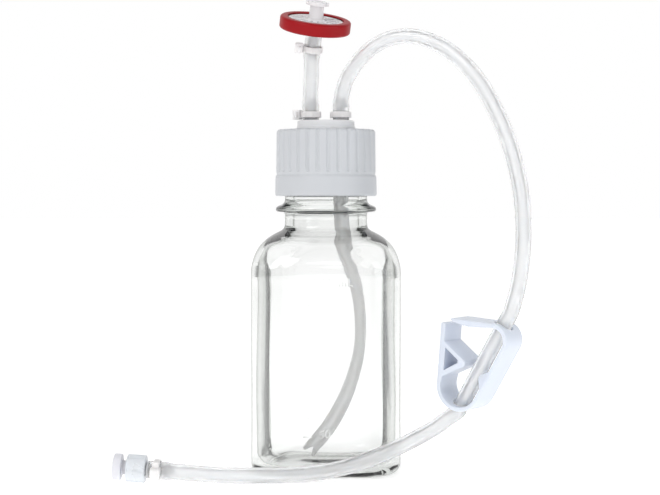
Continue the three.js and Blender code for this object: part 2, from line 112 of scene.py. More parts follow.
# ---------------------------------------------------------------- mesh makers
def make(name, vertices, faces, material, body, sharp=32):
    """A closed mesh from millimetre vertices, with its normals outwards and its sharp edges kept sharp."""
    mesh = bpy.data.meshes.new(name)
    mesh.from_pydata([tuple(v) for v in np.asarray(vertices) * MM], [], faces)
    obj = bpy.data.objects.new(name, mesh)
    scene.collection.objects.link(obj)
    finish_mesh(obj, sharp)
    mesh.materials.append(material)
    if body:
        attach(obj, body)
    return obj


def finish_mesh(obj, sharp):
    bm = bmesh.new()
    bm.from_mesh(obj.data)
    bmesh.ops.remove_doubles(bm, verts=bm.verts, dist=1e-7)
    bmesh.ops.recalc_face_normals(bm, faces=bm.faces)
    bm.to_mesh(obj.data)
    bm.free()
    obj.data.shade_smooth()
    obj.data.set_sharp_from_angle(angle=math.radians(sharp))


def grid_faces(rows, columns, wrap_rows):
    """Quads between rings that close on themselves, and between the last and first ring if they wrap."""
    faces = []
    for i in range(rows if wrap_rows else rows - 1):
        k = (i + 1) % rows
        for j in range(columns):
            m = (j + 1) % columns
            faces.append((i * columns + j, i * columns + m, k * columns + m, k * columns + j))
    return faces


def softened(profile, radius, closed=True, steps=3):
    """The profile with its corners rounded. Corners on the axis, and the ends of an open one, stay."""
    points = [np.array(p, float) for p in profile]
    n = len(points)
    out = []
    for i, p in enumerate(points):
        ends = not closed and i in (0, n - 1)
        if ends or p[0] < 1e-9:
            out.append(p)
            continue
        a, b = points[i - 1], points[(i + 1) % n]
        cut_a = min(radius, 0.4 * np.linalg.norm(a - p))
        cut_b = min(radius, 0.4 * np.linalg.norm(b - p))
        start = p + unit(a - p) * cut_a
        end = p + unit(b - p) * cut_b
        for t in np.linspace(0, 1, steps + 1):
            out.append((1 - t) ** 2 * start + 2 * t * (1 - t) * p + t * t * end)
    return out


def revolve_data(profile, sides, matrix=IDENTITY, ripple=None):
    """Vertices and faces of a solid of revolution. ripple moves (radius, height) by the angle."""
    points = np.array(profile, float)
    capped = points[0, 0] < 1e-9 and points[-1, 0] < 1e-9
    rings = points[1:-1] if capped else points
    angles = np.linspace(0, 2 * math.pi, sides, endpoint=False)
    r = np.repeat(rings[:, :1], sides, 1)
    h = np.repeat(rings[:, 1:2], sides, 1)
    if ripple:
        r, h = ripple(np.broadcast_to(angles, r.shape), r, h)
    vertices = np.stack([r * np.cos(angles), r * np.sin(angles), h], -1).reshape(-1, 3)
    faces = grid_faces(len(rings), sides, not capped)
    if capped:
        first, last = len(vertices), len(vertices) + 1
        vertices = np.vstack([vertices, [0, 0, points[0, 1]], [0, 0, points[-1, 1]]])
        base = (len(rings) - 1) * sides
        faces += [(first, (j + 1) % sides, j) for j in range(sides)]
        faces += [(last, base + j, base + (j + 1) % sides) for j in range(sides)]
    return placed(matrix, vertices), faces


def revolved(name, profile, sides, material, body, matrix=IDENTITY, ripple=None, soft=0.25):
    closed = not (profile[0][0] == 0 and profile[-1][0] == 0)
    shape = softened(profile, soft, closed) if soft else profile
    vertices, faces = revolve_data(shape, sides, matrix, ripple)
    return make(name, vertices, faces, material, body)


def prism(name, outline, depth, material, body, matrix=IDENTITY, soft=0.3):
    """An outline in x and y, drawn out along z both ways from its plane, with its edges rounded."""
    bm = bmesh.new()
    low = [bm.verts.new((x, y, -depth / 2)) for x, y in outline]
    face = bm.faces.new(low)
    grown = bmesh.ops.extrude_face_region(bm, geom=[face])
    top = [v for v in grown["geom"] if isinstance(v, bmesh.types.BMVert)]
    bmesh.ops.translate(bm, vec=(0, 0, depth), verts=top)
    bmesh.ops.recalc_face_normals(bm, faces=bm.faces)
    if soft:
        sharp = [e for e in bm.edges if e.calc_face_angle(0) > math.radians(25)]
        bmesh.ops.bevel(
            bm, geom=sharp, offset=soft, segments=2, profile=0.5, affect="EDGES", clamp_overlap=True
        )
    vertices = placed(matrix, [tuple(v.co) for v in bm.verts])
    bm.verts.index_update()
    faces = [[v.index for v in f.verts] for f in bm.faces]
    bm.free()
    return make(name, vertices, faces, material, body)


def boolean(target, tool, operation, sharp=32):
    modifier = target.modifiers.new("boolean", "BOOLEAN")
    modifier.object = tool
    modifier.operation = operation
    modifier.solver = "EXACT"
    bpy.context.view_layer.update()
    result = bpy.data.meshes.new_from_object(target.evaluated_get(bpy.context.evaluated_depsgraph_get()))
    target.modifiers.clear()
    target.data = result
    bpy.data.objects.remove(tool)
    finish_mesh(target, sharp)


def tube_data(line, outer, inner, sides):
    """A tube with a bore along a line. outer and inner give radii at a distance along it."""
    n = len(line)
    along = np.concatenate([[0], np.cumsum(np.linalg.norm(np.diff(line, axis=0), axis=1))])
    tangents = np.gradient(line, axis=0)
    tangents /= np.linalg.norm(tangents, axis=1)[:, None]
    side = np.array([0.0, -1.0, 0.0])
    angles = np.linspace(0, 2 * math.pi, sides, endpoint=False)
    rings = {"outer": [], "inner": []}
    for i in range(n):
        side = side - (side @ tangents[i]) * tangents[i]
        side = unit(side)
        other = np.cross(tangents[i], side)
        ring = np.cos(angles)[:, None] * side + np.sin(angles)[:, None] * other
        rings["outer"].append(line[i] + ring * outer(along[i], along[-1]))
        rings["inner"].append(line[i] + ring * inner(along[i], along[-1]))
    vertices = np.vstack(rings["outer"] + rings["inner"][::-1])
    return vertices, grid_faces(2 * n, sides, True)


# ---------------------------------------------------------------- materials
def nodes_of(name):
    material = bpy.data.materials.new(name)
    material.use_nodes = True
    tree = material.node_tree
    return material, tree, tree.nodes["Principled BSDF"]


def plastic(
    name, color, roughness, bump=0.02, scale=900.0, subsurface=0.0, transmission=0.0, ior=1.49, mottle=0.03
):
    """Moulded plastic: a fine surface texture, slightly uneven gloss and a faint cloudiness in its colour."""
    material, tree, shader = nodes_of(name)
    place = tree.nodes.new("ShaderNodeTexCoord")
    cloud = tree.nodes.new("ShaderNodeTexNoise")
    cloud.inputs["Scale"].default_value = 90.0
    cloud.inputs["Detail"].default_value = 4.0
    mottle_and_rim_shade = tree.nodes.new("ShaderNodeMix")
    mottle_and_rim_shade.data_type = "RGBA"
    mottle_and_rim_shade.inputs[6].default_value = (*[c * (1 - mottle) for c in color], 1)
    mottle_and_rim_shade.inputs[7].default_value = (*[min(1.0, c * (1 + mottle)) for c in color], 1)
    gloss = tree.nodes.new("ShaderNodeMapRange")
    gloss.inputs["To Min"].default_value = max(0.02, roughness - 0.06)
    gloss.inputs["To Max"].default_value = roughness + 0.06
    link = tree.links.new
    link(place.outputs["Object"], cloud.inputs["Vector"])
    link(cloud.outputs["Fac"], mottle_and_rim_shade.inputs[0])
    link(mottle_and_rim_shade.outputs[2], shader.inputs["Base Color"])
    link(cloud.outputs["Fac"], gloss.inputs["Value"])
    link(gloss.outputs["Result"], shader.inputs["Roughness"])
    if bump:
        grain = tree.nodes.new("ShaderNodeTexNoise")
        grain.inputs["Scale"].default_value = scale
        grain.inputs["Detail"].default_value = 3.0
        relief = tree.nodes.new("ShaderNodeBump")
        relief.inputs["Strength"].default_value = bump
        relief.inputs["Distance"].default_value = 0.0002
        link(place.outputs["Object"], grain.inputs["Vector"])
        link(grain.outputs["Fac"], relief.inputs["Height"])
        link(relief.outputs["Normal"], shader.inputs["Normal"])
    shader.inputs["IOR"].default_value = ior
    shader.inputs["Transmission Weight"].default_value = transmission
    shader.inputs["Subsurface Weight"].default_value = subsurface
    shader.inputs["Subsurface Radius"].default_value = (0.9, 0.95, 1.0)
    shader.inputs["Subsurface Scale"].default_value = 0.003
    return material


# Painted shade on glass: how far towards an edge-on view its colour starts to darken, and where it is
# darkest. The darkening stands in for the dark surroundings seen in the glass near its outline.
RIM_SHADE_START = 0.64
RIM_SHADE_FULL = 0.88


def clear_glass(name, rim_shade_color, roughness, ior, absorb, density):
    """Clear glass with painted shade: its colour darkens where it is seen edge-on, in place of the dark
    surroundings seen in it there. Its absorption colour grows with its thickness.
    """
    material, tree, shader = nodes_of(name)
    # Painted shade: the Layer Weight darkens the colour towards the edge-on view.
    weight = tree.nodes.new("ShaderNodeLayerWeight")
    weight.inputs["Blend"].default_value = 0.5
    rim_shade_mask = tree.nodes.new("ShaderNodeMapRange")
    rim_shade_mask.interpolation_type = "SMOOTHSTEP"
    rim_shade_mask.inputs["From Min"].default_value = RIM_SHADE_START
    rim_shade_mask.inputs["From Max"].default_value = RIM_SHADE_FULL
    mottle_and_rim_shade = tree.nodes.new("ShaderNodeMix")
    mottle_and_rim_shade.data_type = "RGBA"
    mottle_and_rim_shade.inputs[6].default_value = (1, 1, 1, 1)
    mottle_and_rim_shade.inputs[7].default_value = (*rim_shade_color, 1)
    tree.links.new(weight.outputs["Facing"], rim_shade_mask.inputs["Value"])
    tree.links.new(rim_shade_mask.outputs["Result"], mottle_and_rim_shade.inputs[0])
    tree.links.new(mottle_and_rim_shade.outputs[2], shader.inputs["Base Color"])
    shader.inputs["Roughness"].default_value = roughness
    shader.inputs["IOR"].default_value = ior
    shader.inputs["Transmission Weight"].default_value = 1.0
    volume = tree.nodes.new("ShaderNodeVolumeAbsorption")
    volume.inputs["Color"].default_value = (*absorb, 1)
    volume.inputs["Density"].default_value = density
    tree.links.new(volume.outputs["Volume"], tree.nodes["Material Output"].inputs["Volume"])
    return material


def rubber(name, color, roughness, transmission):
    """Silicone rubber: part clear, part milky, a little cloudier in places."""
    return plastic(
        name, color, roughness, bump=0.0, subsurface=1.0, transmission=transmission, ior=1.41, mottle=0.015
    )


# The second colour is the painted shade where the glass is seen edge-on.
glass = clear_glass("glass", (0.14, 0.16, 0.13), 0.0, 1.5, (0.66, 0.69, 0.66), 62.0)
silicone = rubber("silicone", (0.975, 0.985, 1.0), 0.20, 0.8)
dip_silicone = rubber("dip_silicone", (1.0, 1.0, 1.0), 0.42, 0.80)
collar_white = plastic("collar_white", (0.56, 0.575, 0.60), 0.45, bump=0.06, scale=1500, subsurface=0.1)
insert_natural = plastic(
    "insert_natural", (0.90, 0.91, 0.93), 0.35, bump=0.03, subsurface=0.4, transmission=0.2
)
gasket_white = plastic("gasket_white", (0.85, 0.85, 0.83), 0.5, bump=0.03, subsurface=0.2)
tie_nylon = plastic(
    "tie_nylon", (0.95, 0.93, 0.93), 0.32, bump=0.03, subsurface=0.4, transmission=0.15, ior=1.53
)
housing_clear = plastic(
    "housing_clear", (0.98, 0.95, 0.98), 0.20, bump=0.02, scale=700, subsurface=0.5, transmission=0.2
)
membrane_white = plastic(
    "membrane_white", (0.97, 0.95, 0.96), 0.8, bump=0.3, scale=2500, subsurface=0.1
)
ring_red = plastic("ring_red", (0.31, 0.0, 0.004), 0.42, bump=0.03, scale=700, ior=1.3, mottle=0.05)
clamp_blue = plastic("clamp_blue", (0.71, 0.755, 0.85), 0.35, bump=0.05, scale=1200, subsurface=0.35)
fitting_natural = plastic(
    "fitting_natural", (0.90, 0.91, 0.93), 0.28, bump=0.03, subsurface=0.4, transmission=0.2
)
lock_natural = plastic("lock_natural", (0.87, 0.91, 0.96), 0.28, bump=0.03, subsurface=0.3, transmission=0.2)
cap_natural = plastic("cap_natural", (0.86, 0.86, 0.91), 0.28, bump=0.03, subsurface=0.3, transmission=0.2)

# ---------------------------------------------------------------- hoses
HOSE = 3.175
BORE = 1.6
CLAMP_ORIGIN = np.array([58.2, -37.1, 38.4])
CLAMP_TURN = math.radians(34)
CLAMP_LEAN = math.radians(30.2)
clamp_side = np.array([math.cos(CLAMP_TURN), -math.sin(CLAMP_TURN), 0.0])
clamp_along = clamp_side * math.sin(CLAMP_LEAN) + np.array([0, 0, math.cos(CLAMP_LEAN)])
clamp_out = -clamp_side * math.cos(CLAMP_LEAN) + np.array([0, 0, math.sin(CLAMP_LEAN)])
clamp_near = np.cross(clamp_along, clamp_out)
CLAMP_FRAME = np.eye(4)
for column, direction in enumerate((clamp_along, clamp_out, clamp_near, CLAMP_ORIGIN)):
    CLAMP_FRAME[:3, column] = direction

LUER_ORIGIN = np.array([-72.3, -38.0, 5.7])
LUER_AXIS = unit((-1, 0.04, 0.0787))
LUER_FRAME = axis_frame(LUER_ORIGIN, LUER_AXIS, (0, -1, 0))
FILTER_CENTRE = np.array([-4.5, -6.2, 187.2])
FILTER_AXIS = unit((0.12, -0.287, 1))
FILTER_FRAME = axis_frame(FILTER_CENTRE, FILTER_AXIS)
PINCH_LOW = -9.0
PINCH_HIGH = 29.8


def on_clamp(distance):
    return tuple(CLAMP_ORIGIN + clamp_along * distance)


UPPER_ROUTE = [
    (6.35, 0, 147.6), (6.35, 0, 152.5), (6.6, 0, 157.2), (8.2, -0.8, 163.5), (11.8, -2.3, 169.8),
    (17.6, -4, 176.3), (24.6, -6.2, 180.5), (32.5, -8.8, 182.1), (41, -12.4, 180.6), (49, -16.8, 176.5),
    (56.4, -21.5, 169.9), (62.7, -26.2, 161.7), (68, -31.3, 151.5), (72.3, -36.3, 140.5), (75.6, -41, 128),
    (77.6, -45, 115), (78.1, -47.4, 102), (77.4, -48.5, 90), (75.7, -48.4, 79),
    on_clamp(36), on_clamp(32.6), on_clamp(PINCH_HIGH),
]
LUER_END = LUER_ORIGIN - 1.2 * LUER_AXIS
LOWER_ROUTE = [
    on_clamp(PINCH_LOW), on_clamp(-11.2), (49.2, -32.6, 25.4), (44.4, -33.2, 21.9), (38, -34.5, 18.5),
    (29.9, -36, 14.6), (19.8, -37.4, 10.4), (9.7, -38.3, 7), (-2.3, -39, 4.6), (-14, -39.3, 3.6),
    (-30, -39.5, 3.4), (-42, -39.4, 3.5),
    tuple(LUER_END - 21 * LUER_AXIS), tuple(LUER_END - 10 * LUER_AXIS), tuple(LUER_END),
]
DIP_ROUTE = [
    (6.35, 0, 133.7), (6.35, 0, 124), (6.35, 0, 114), (6.6, 0, 106), (7.2, 0, 100), (8.3, 0, 94),
    (10.2, 0, 88), (12.3, 0, 82.5), (14, 0, 77), (15.3, 0, 71), (16.1, 0, 65), (16.4, 0, 59), (16.1, 0, 53),
    (15, 0, 47), (13.1, 0, 41), (10.8, 0, 35), (8.1, 0, 29), (5.1, 0, 23.5), (1.7, 0, 18), (-2, 0, 13.3),
    (-5.2, 0, 9.8), (-7.6, 0, 6.6),
]
VENT_TOP = FILTER_CENTRE - 3.2 * FILTER_AXIS
VENT_ROUTE = [
    (-6.35, 0, 147.6), (-6.5, 0, 155.5), (-6.4, -0.5, 161.5), (-6.1, -1.6, 168),
    tuple(FILTER_CENTRE - 13 * FILTER_AXIS), tuple(VENT_TOP),
]

# Radii at distances from an end that is stretched over a barb.
STRETCH_AT = [0, 0.15, 1.5, 4.4, 5.7, 7.2, 9.2, 10.8]
STRETCH_OUTER = [3.38, 3.5, 3.44, 3.42, 3.58, 3.46, 3.22, HOSE]
STRETCH_INNER = [2.06, 2.0, 1.76, 1.74, 2.06, 1.92, 1.63, BORE]
FILTER_BARB = 3.0  # how much longer the filter's barb is than the ports'


def radii(at_start, at_end, extra=0.0):
    """Outer and inner radius functions for a hose that is stretched over a barb at either end."""
    far = [at + (extra if at > 2 else 0.0) for at in STRETCH_AT]

    def outer(s, total):
        ends = [HOSE - 0.25 * max(0.0, 1 - min(s, total - s) / 0.2)]
        if at_start:
            ends.append(np.interp(s, STRETCH_AT, STRETCH_OUTER))
        if at_end:
            ends.append(np.interp(total - s, far, STRETCH_OUTER))
        return max(ends)

    def inner(s, total):
        ends = [BORE]
        if at_start:
            ends.append(np.interp(s, STRETCH_AT, STRETCH_INNER))
        if at_end:
            ends.append(np.interp(total - s, far, STRETCH_INNER))
        return max(ends)

    return outer, inner


def hose(name, points, at_start, at_end, material, nodes, extra=0.0, sides=48, step=0.8):
    line = route(points, step)
    outer, inner = radii(at_start, at_end, extra)
    vertices, faces = tube_data(line, outer, inner, sides)
    obj = make(name, vertices, faces, material, "closure", 40)
    if nodes:
        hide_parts(*nodes)
    return obj, line


hose_upper, upper_line = hose(
    "dispensing_hose_upper", UPPER_ROUTE, True, False, silicone, ["dispensing_tube_upper"]
)
hose_lower, lower_line = hose(
    "dispensing_hose_lower", LOWER_ROUTE, False, True, silicone, ["dispensing_tube_lower"]
)
hose("vent_hose", VENT_ROUTE, True, True, silicone, ["vent_tube"], FILTER_BARB)

# The stretch between the clamp's two walls, which the arm's jaw presses flat.
pinch_line = np.array([on_clamp(d) for d in np.linspace(PINCH_LOW + 0.02, PINCH_HIGH - 0.02, 79)])
vertices, faces = tube_data(pinch_line, lambda s, total: HOSE, lambda s, total: BORE, 48)
hose_pinch = make("dispensing_hose_pinch", vertices, faces, silicone, None, 40)
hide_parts("dispensing_tube_pinch")
PINCH_AT = 9.2
PINCH_SPREAD = 3.6
PINCH_DEPTH = 0.82


def blend_by(obj, weight):
    """Bakes obj's transform and works out a weight for each vertex, a function of the point in the clamp's
    frame. The weights are not stored, so obj is not blended between two bodies.
    """
    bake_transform(obj)
    back = np.linalg.inv(CLAMP_FRAME)
    points = placed(back, np.array([v.co for v in obj.data.vertices], float) / MM)
    values = np.array([weight(*p) for p in points], np.float32)


def pinch_weight(along, out, across):
    level = min(1.0, max(0.0, (out + HOSE) / (2 * HOSE)))
    return PINCH_DEPTH * level * math.exp(-(((along - PINCH_AT) / PINCH_SPREAD) ** 2))


blend_by(hose_pinch, pinch_weight)


# ---------------------------------------------------------------- bottle
def radius_of_square(angle, half, corner):
    quarter = math.pi / 2
    fold = np.abs(angle - quarter * np.round(angle / quarter))
    side = half / np.cos(fold)
    centre = half - corner
    along = centre * (np.cos(fold) + np.sin(fold))
    across = centre * (np.cos(fold) - np.sin(fold))
    round_part = along + np.sqrt(np.maximum(corner**2 - across**2, 0))
    return np.where(side * np.sin(fold) <= centre, side, round_part)


OUTSIDE = [
    (12, 0.8, 6), (21, 0.4, 9.5), (25, 0, 11), (26.9, 0.15, 12.1), (28.9, 1.1, 12.6), (30.2, 2.5, 12.9),
    (30.9, 4.2, 13), (31, 6, 13), (31, 10, 13), (31, 20, 13), (31, 40, 13), (31, 60, 13), (31, 74, 13),
    (31, 80, 13), (31, 83.5, 13), (30.9, 86, 13.5), (30.3, 89, 15.5), (29.4, 91.8, 18), (28, 94.4, 20.5),
    (26.2, 96.5, 21.5), (23.5, 98.6, 21.8), (20.7, 100.2, 20.7), (18.6, 101.3, 18.6), (17.7, 102.4, 17.7),
    (17.5, 103.8, 17.5), (17.5, 107.8, 17.5), (17.9, 108.5, 17.9), (20.7, 108.9, 20.7), (21.2, 109.4, 21.2),
    (21.2, 110.4, 21.2), (20.5, 111.1, 20.5), (18.2, 112.3, 18.2), (17.5, 113.4, 17.5), (17.5, 118, 17.5),
    (17.5, 124, 17.5), (17.5, 132, 17.5), (17.5, 135.6, 17.5), (17.2, 136.8, 17.2), (16.3, 137.2, 16.3),
]
INSIDE = [
    (15, 137.2, 2), (14.2, 136.8, 2), (13.9, 136, 2), (13.9, 126, 2), (13.9, 110, 2), (13.9, 104.5, 2),
    (14.3, 102, 2), (15.9, 100.2, 2), (18.6, 98.7, 2.1), (22, 97, 2.3), (25.4, 94.6, 2.7), (27.6, 91.5, 3.2),
    (28.9, 88, 3.7), (29.5, 83.5, 4), (29.5, 78, 4), (29.5, 60, 4), (29.5, 40, 4), (29.5, 20, 4),
    (29.5, 11, 4),
    (29.4, 8, 4), (28.6, 5, 3.9), (26.8, 3.5, 3.7), (23, 2.6, 3.3), (14, 2.4, 2.6), (8, 2.9, 2.3),
]
THREAD_START = 125.6
THREAD_PITCH = 4.233
THREAD_TURNS = 1.5


def thread_height(angle, z):
    """How far the neck's thread stands out at an angle and height."""
    rise = np.zeros_like(z)
    for turn in range(2):
        run = angle + 2 * math.pi * turn
        centre = THREAD_START + THREAD_PITCH * run / (2 * math.pi)
        shape = np.clip((1.1 - np.abs(z - centre)) / 0.75, 0, 1)
        fade = np.clip(np.minimum(run / 0.5, (THREAD_TURNS * 2 * math.pi - run) / 0.5), 0, 1)
        rise = np.maximum(rise, shape * fade)
    return rise * 1.25


def make_bottle(sides):
    angles = np.linspace(0, 2 * math.pi, sides, endpoint=False)
    outer = route(OUTSIDE, 0.7)
    inner = route(INSIDE, 0.7)
    rings = []
    for half, z, corner in outer:
        radius = radius_of_square(angles, half, min(corner, half))
        if z > 114:
            radius = radius + thread_height(angles, np.full(sides, z))
        rings.append(np.stack([radius * np.cos(angles), radius * np.sin(angles), np.full(sides, z)], 1))
    for half, z, power in inner:
        # The cavity is blown, so its wall is slightly uneven.
        uneven = 0.10 * np.sin(2 * angles + z / 19) + 0.06 * np.sin(5 * angles - z / 11)
        uneven = uneven * np.clip((96 - z) / 20, 0, 1) * np.clip((z - 3) / 12, 0, 1)
        radius = half / (np.abs(np.cos(angles)) ** power + np.abs(np.sin(angles)) ** power) ** (1 / power)
        radius = radius + uneven
        rings.append(np.stack([radius * np.cos(angles), radius * np.sin(angles), np.full(sides, z)], 1))
    count = len(rings)
    vertices = np.vstack(rings + [np.array([[0, 0, 0.9], [0, 0, 3.2]])])
    faces = grid_faces(count, sides, False)
    base = (count - 1) * sides
    under, over = count * sides, count * sides + 1
    faces += [(under, (j + 1) % sides, j) for j in range(sides)]
    faces += [(over, base + j, base + (j + 1) % sides) for j in range(sides)]
    obj = make("glass_bottle", vertices, faces, glass, "bottle", 60)
    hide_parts("bottle")


make_bottle(160)

# Raised graduations on the front panel.
PANEL = -31.0
TICKS = [17.5, 25, 32.4, 39.9, 47.8, 54.9, 63.6, 71.5, 79.3]


def relief_text(name, words, x, z, size):
    curve = bpy.data.curves.new(name, "FONT")
    curve.body = words
    curve.size = size * MM
    curve.extrude = 0.08 * MM
    curve.bevel_depth = 0.11 * MM
    curve.bevel_resolution = 2
    curve.space_character = 1.08
    curve.resolution_u = 4
    text = bpy.data.objects.new(name, curve)
    scene.collection.objects.link(text)
    spot = Matrix.Translation(Vector((x, PANEL - 0.22, z)) * MM)
    text.matrix_world = spot @ Matrix.Rotation(math.pi / 2, 4, "X")
    bpy.context.view_layer.update()
    mesh = bpy.data.meshes.new_from_object(text.evaluated_get(bpy.context.evaluated_depsgraph_get()))
    mesh.transform(text.matrix_world)
    bpy.data.objects.remove(text)
    obj = bpy.data.objects.new(name, mesh)
    scene.collection.objects.link(obj)
    finish_mesh(obj, 40)
    mesh.materials.clear()
    mesh.materials.append(glass)
    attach(obj, "bottle")
    return obj


for index, height in enumerate(TICKS):
    width = 3.8 if index % 2 == 0 else 2.0
    half_w, half_h = width / 2, 0.3
    outline = [(-half_w, -half_h), (half_w, -half_h), (half_w, half_h), (-half_w, half_h)]
    matrix = axis_frame((-5.6 - half_w, PANEL - 0.17, height), (0, -1, 0), (1, 0, 0))
    prism(f"tick_{index}", outline, 0.28, glass, "bottle", matrix, 0.08)
for index, words in enumerate(["50", "100", "150", "200", "250"]):
    relief_text(f"volume_{words}", words, -5.0 + (2.2 if words == "50" else 0), TICKS[2 * index] - 0.3, 4.7)
relief_text("volume_unit", "mL", 5.2, TICKS[8] - 0.3, 4.4)

# ---------------------------------------------------------------- closure
RIB_COUNT = 30
RIB_PHASE = math.radians(-87.5)


def rib_ripple(angle, r, z):
    """Grooves between the collar's grip ribs, on its upper band only."""
    turn = ((angle - RIB_PHASE) * RIB_COUNT / (2 * math.pi) + 0.5) % 1 - 0.5
    groove = np.clip(1 - (np.abs(turn) / 0.2) ** 2, 0, 1) ** 0.8
    band = np.clip((z - 125.4) / 0.7, 0, 1) * np.clip((144.4 - z) / 1.2, 0, 1) * (r > 19.9)
    return r - 0.55 * groove * band, z


COLLAR_PROFILE = [
    (19.1, 115.5), (21.1, 115.5), (21.5, 116.1), (21.32, 123.6), (20.95, 124.2), (20.8, 124.5),
    (20.98, 125.3),
    (21.0, 126.5), (20.95, 132), (20.88, 138), (20.85, 142.5), (20.2, 143.4), (18, 143.4), (12.9, 143.4),
    (12.9, 141.6), (19.1, 141.6), (19.1, 136), (18.0, 135.2), (18.0, 134.6), (19.1, 133.8), (19.1, 131.8),
    (18.0, 131.0), (18.0, 130.4), (19.1, 129.6),
]
collar = revolved(
    "ribbed_collar", COLLAR_PROFILE, 480, collar_white, "collar", IDENTITY, rib_ripple, 0.3
)
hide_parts("screw_collar")

INSERT_PROFILE = [
    (0, 134), (12.6, 134), (13.2, 134.6), (13.2, 139), (17, 139), (17, 141.2), (12.5, 141.2), (12.4, 144.6),
    (12.1, 144.9), (12.1, 146.9), (11.6, 147.3), (9.9, 147.3), (9.6, 146.8), (0, 146.8),
]
insert = revolved("two_port_insert", INSERT_PROFILE, 96, insert_natural, "closure")


def barb_profile(start, end, neck=1.65, edge=2.0):
    way = math.copysign(1, end - start)
    shape = [
        (1.0, start), (neck, start), (neck, end - 3.4 * way), (edge, end - 3.0 * way),
        (1.45, end - 0.1 * way), (1.3, end), (1.0, end),
    ]
    return shape if way > 0 else shape[::-1]


for side, x in (("vent", -6.35), ("dispensing", 6.35)):
    place = axis_frame((x, 0, 0), (0, 0, 1))
    for part, profile, soft in (
        ("barb", barb_profile(146.3, 156.3), 0.12),
        ("foot", barb_profile(134.5, 125), 0.12),
        ("shoulder", [(1.9, 146.5), (3.3, 146.5), (3.1, 147.2), (1.9, 147.4)], 0.15),
    ):
        revolved(f"{side}_port_{part}", profile, 48, insert_natural, "closure", place, None, soft)
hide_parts("port_insert")

gasket = revolved(
    "gasket", [(14, 137.5), (17.2, 137.5), (17.2, 138.7), (14, 138.7)], 72, gasket_white, "closure"
)
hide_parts("sealing_gasket")

dip_line = route(DIP_ROUTE, 0.8)
dip_outer, dip_inner = radii(True, False)
vertices, faces = tube_data(dip_line, dip_outer, dip_inner, 40)
dip_tube = make("dip_hose", vertices, faces, dip_silicone, "closure", 40)
tip = axis_frame((-7.6, 0, 6.6), (-0.62, 0, -0.78))
notch = tip @ np.array([[1, 0, 0, 0], [0, 0, -1, 0], [0, 1, 0, 0], [0, 0, 0, 1.0]])
notch_cutter = prism("notch", [(-2.4, 1), (0, -4), (2.4, 1)], 10, dip_silicone, None, notch, 0)
boolean(dip_tube, notch_cutter, "DIFFERENCE")
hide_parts("dip_tube")


# ---------------------------------------------------------------- cable ties
def tie(name, matrix, node, width=2.5, inner=3.74):
    """A nylon tie: a band with fine teeth, its head out along x, and the cut stub of its tail."""

    def teeth(angle, r, z):
        saw = (angle * 44 / (2 * math.pi)) % 1
        return np.where(r > inner + 0.4, r + 0.1 * (saw - 0.5) * (np.abs(z) < width * 0.38), r), z

    half = width / 2
    band = [(inner, -half), (inner + 0.62, -half), (inner + 0.62, -half * 0.4), (inner + 0.62, half * 0.4),
            (inner + 0.62, half), (inner, half)]
    ring = revolved(name, band, 176, tie_nylon, "closure", matrix, teeth, 0.12)
    head = [(-1.55, -2.15), (1.45, -2.15), (1.75, -1.2), (1.75, 1.9), (1.1, 2.3), (-1.55, 2.3)]
    offset = np.eye(4)
    offset[:3, 3] = (inner + 1.85, 0.9, 0)
    head_piece = prism(name + "_head", head, width + 1.5, tie_nylon, "closure", matrix @ offset, 0.35)
    offset = np.eye(4)
    offset[:3, 3] = (inner + 1.55, 4.2, 0)
    tail = [(-0.45, -1.6), (0.45, -1.6), (0.55, 1.4), (0.35, 1.6), (-0.4, 1.55)]
    tail_piece = prism(name + "_tail", tail, width, tie_nylon, "closure", matrix @ offset, 0.15)
    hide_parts(node)
    return [ring, head_piece, tail_piece]


tie("vent_tie", axis_frame((-6.35, 0, 149.8), (0, 0, 1), (-1, 0.3, 0)), "vent_port_tie")
tie("dispensing_tie", axis_frame((6.35, 0, 149.8), (0, 0, 1), (0.2, 1, 0)), "dispensing_port_tie")
tie("filter_barb_tie", axis_frame(FILTER_CENTRE - 10.5 * FILTER_AXIS, FILTER_AXIS, (-1, 0, 0)), "filter_tie")
outlet_pieces = tie(
    "outlet_hose_tie", axis_frame(LUER_ORIGIN - 4.4 * LUER_AXIS, LUER_AXIS, (0, -0.97, -0.25)), "outlet_tie"
)

# ---------------------------------------------------------------- vent filter
outlet_profile = [
    (1.0, -14.5), (1.3, -14.5), (1.45, -14.4), (2.0, -11.5), (1.65, -11.1), (1.65, -3.0),
    (3.0, -2.9), (3.0, -1.7), (10.4, -1.7), (10.7, -2.0), (11.6, -2.0), (12.1, -1.7), (12.1, -0.3),
    (10.8, -0.3), (10.8, -0.7), (1.0, -0.7),
]
filter_bottom = revolved(
    "filter_outlet", outlet_profile, 96, housing_clear, "closure", FILTER_FRAME, None, 0.15
)
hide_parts("filter_outlet_housing")
inlet_profile = [
    (1.0, 0.7), (10.8, 0.7), (10.8, 0.3), (12.1, 0.3), (12.1, 1.7), (11.6, 2.0), (10.7, 2.0), (10.4, 1.7),
    (4.2, 1.7), (3.1, 2.5), (2.9, 7.8), (3.9, 8.1), (3.9, 9.6), (2.15, 9.6), (1.95, 2.4), (1.0, 2.2),
]
filter_top = revolved(
    "filter_inlet", inlet_profile, 96, housing_clear, "closure", FILTER_FRAME, None, 0.15
)
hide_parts("filter_inlet_housing")
for index in range(2):
    side = -1 if index else 1
    lug = [(-1.0, -1.5), (0.9, -1.35), (1.15, -0.9), (1.15, 0.9), (0.9, 1.35), (-1.0, 1.5)]
    offset = np.eye(4)
    offset[:3, :3] = np.diag([side, side, 1.0])
    offset[:3, 3] = (side * 3.75, 0, 8.85)
    prism(f"luer_lug_{index}", lug, 1.3, housing_clear, "closure", FILTER_FRAME @ offset, 0.2)
